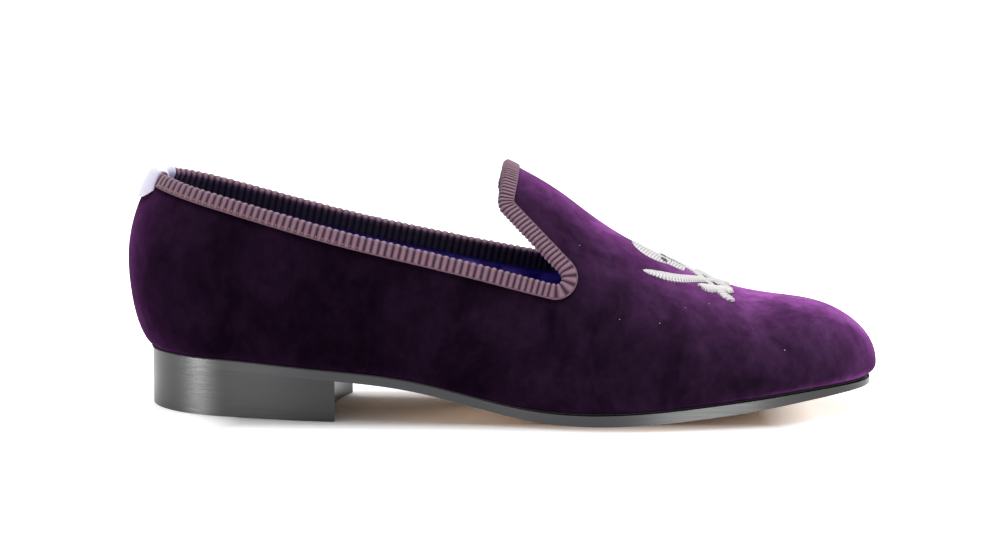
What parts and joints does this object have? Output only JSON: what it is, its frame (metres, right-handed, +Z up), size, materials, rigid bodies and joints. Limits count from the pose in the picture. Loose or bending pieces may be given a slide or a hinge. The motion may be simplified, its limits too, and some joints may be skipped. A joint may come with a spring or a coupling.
{
  "type": "velvet slipper loafer",
  "caption": "Low velvet slipper loafer for the right foot: hollow upper with raised tongue, ribbon-bound opening, thin leather sole and low heel.",
  "frame": {"origin": "on the floor, under the middle of the shoe's box", "axes": "+X towards the toe, +Z up, outer side of the right shoe towards -Y"},
  "size_m": [0.2956, 0.0948, 0.0974],
  "materials": {
    "velvet": "deep purple velvet",
    "sole_leather": "dark grey edge, tan underside",
    "heel_leather": "satin dark grey",
    "sock_satin": "blue violet satin",
    "grosgrain": "ribbed mauve ribbon",
    "tab_satin": "pale satin ribbon"
  },
  "bodies": {
    "root": {"upper": "velvet", "outsole": "sole_leather", "heel": "heel_leather", "insole": "sock_satin", "topline_binding": "grosgrain", "heel_tab": "tab_satin"}
  },
  "joints": []
}
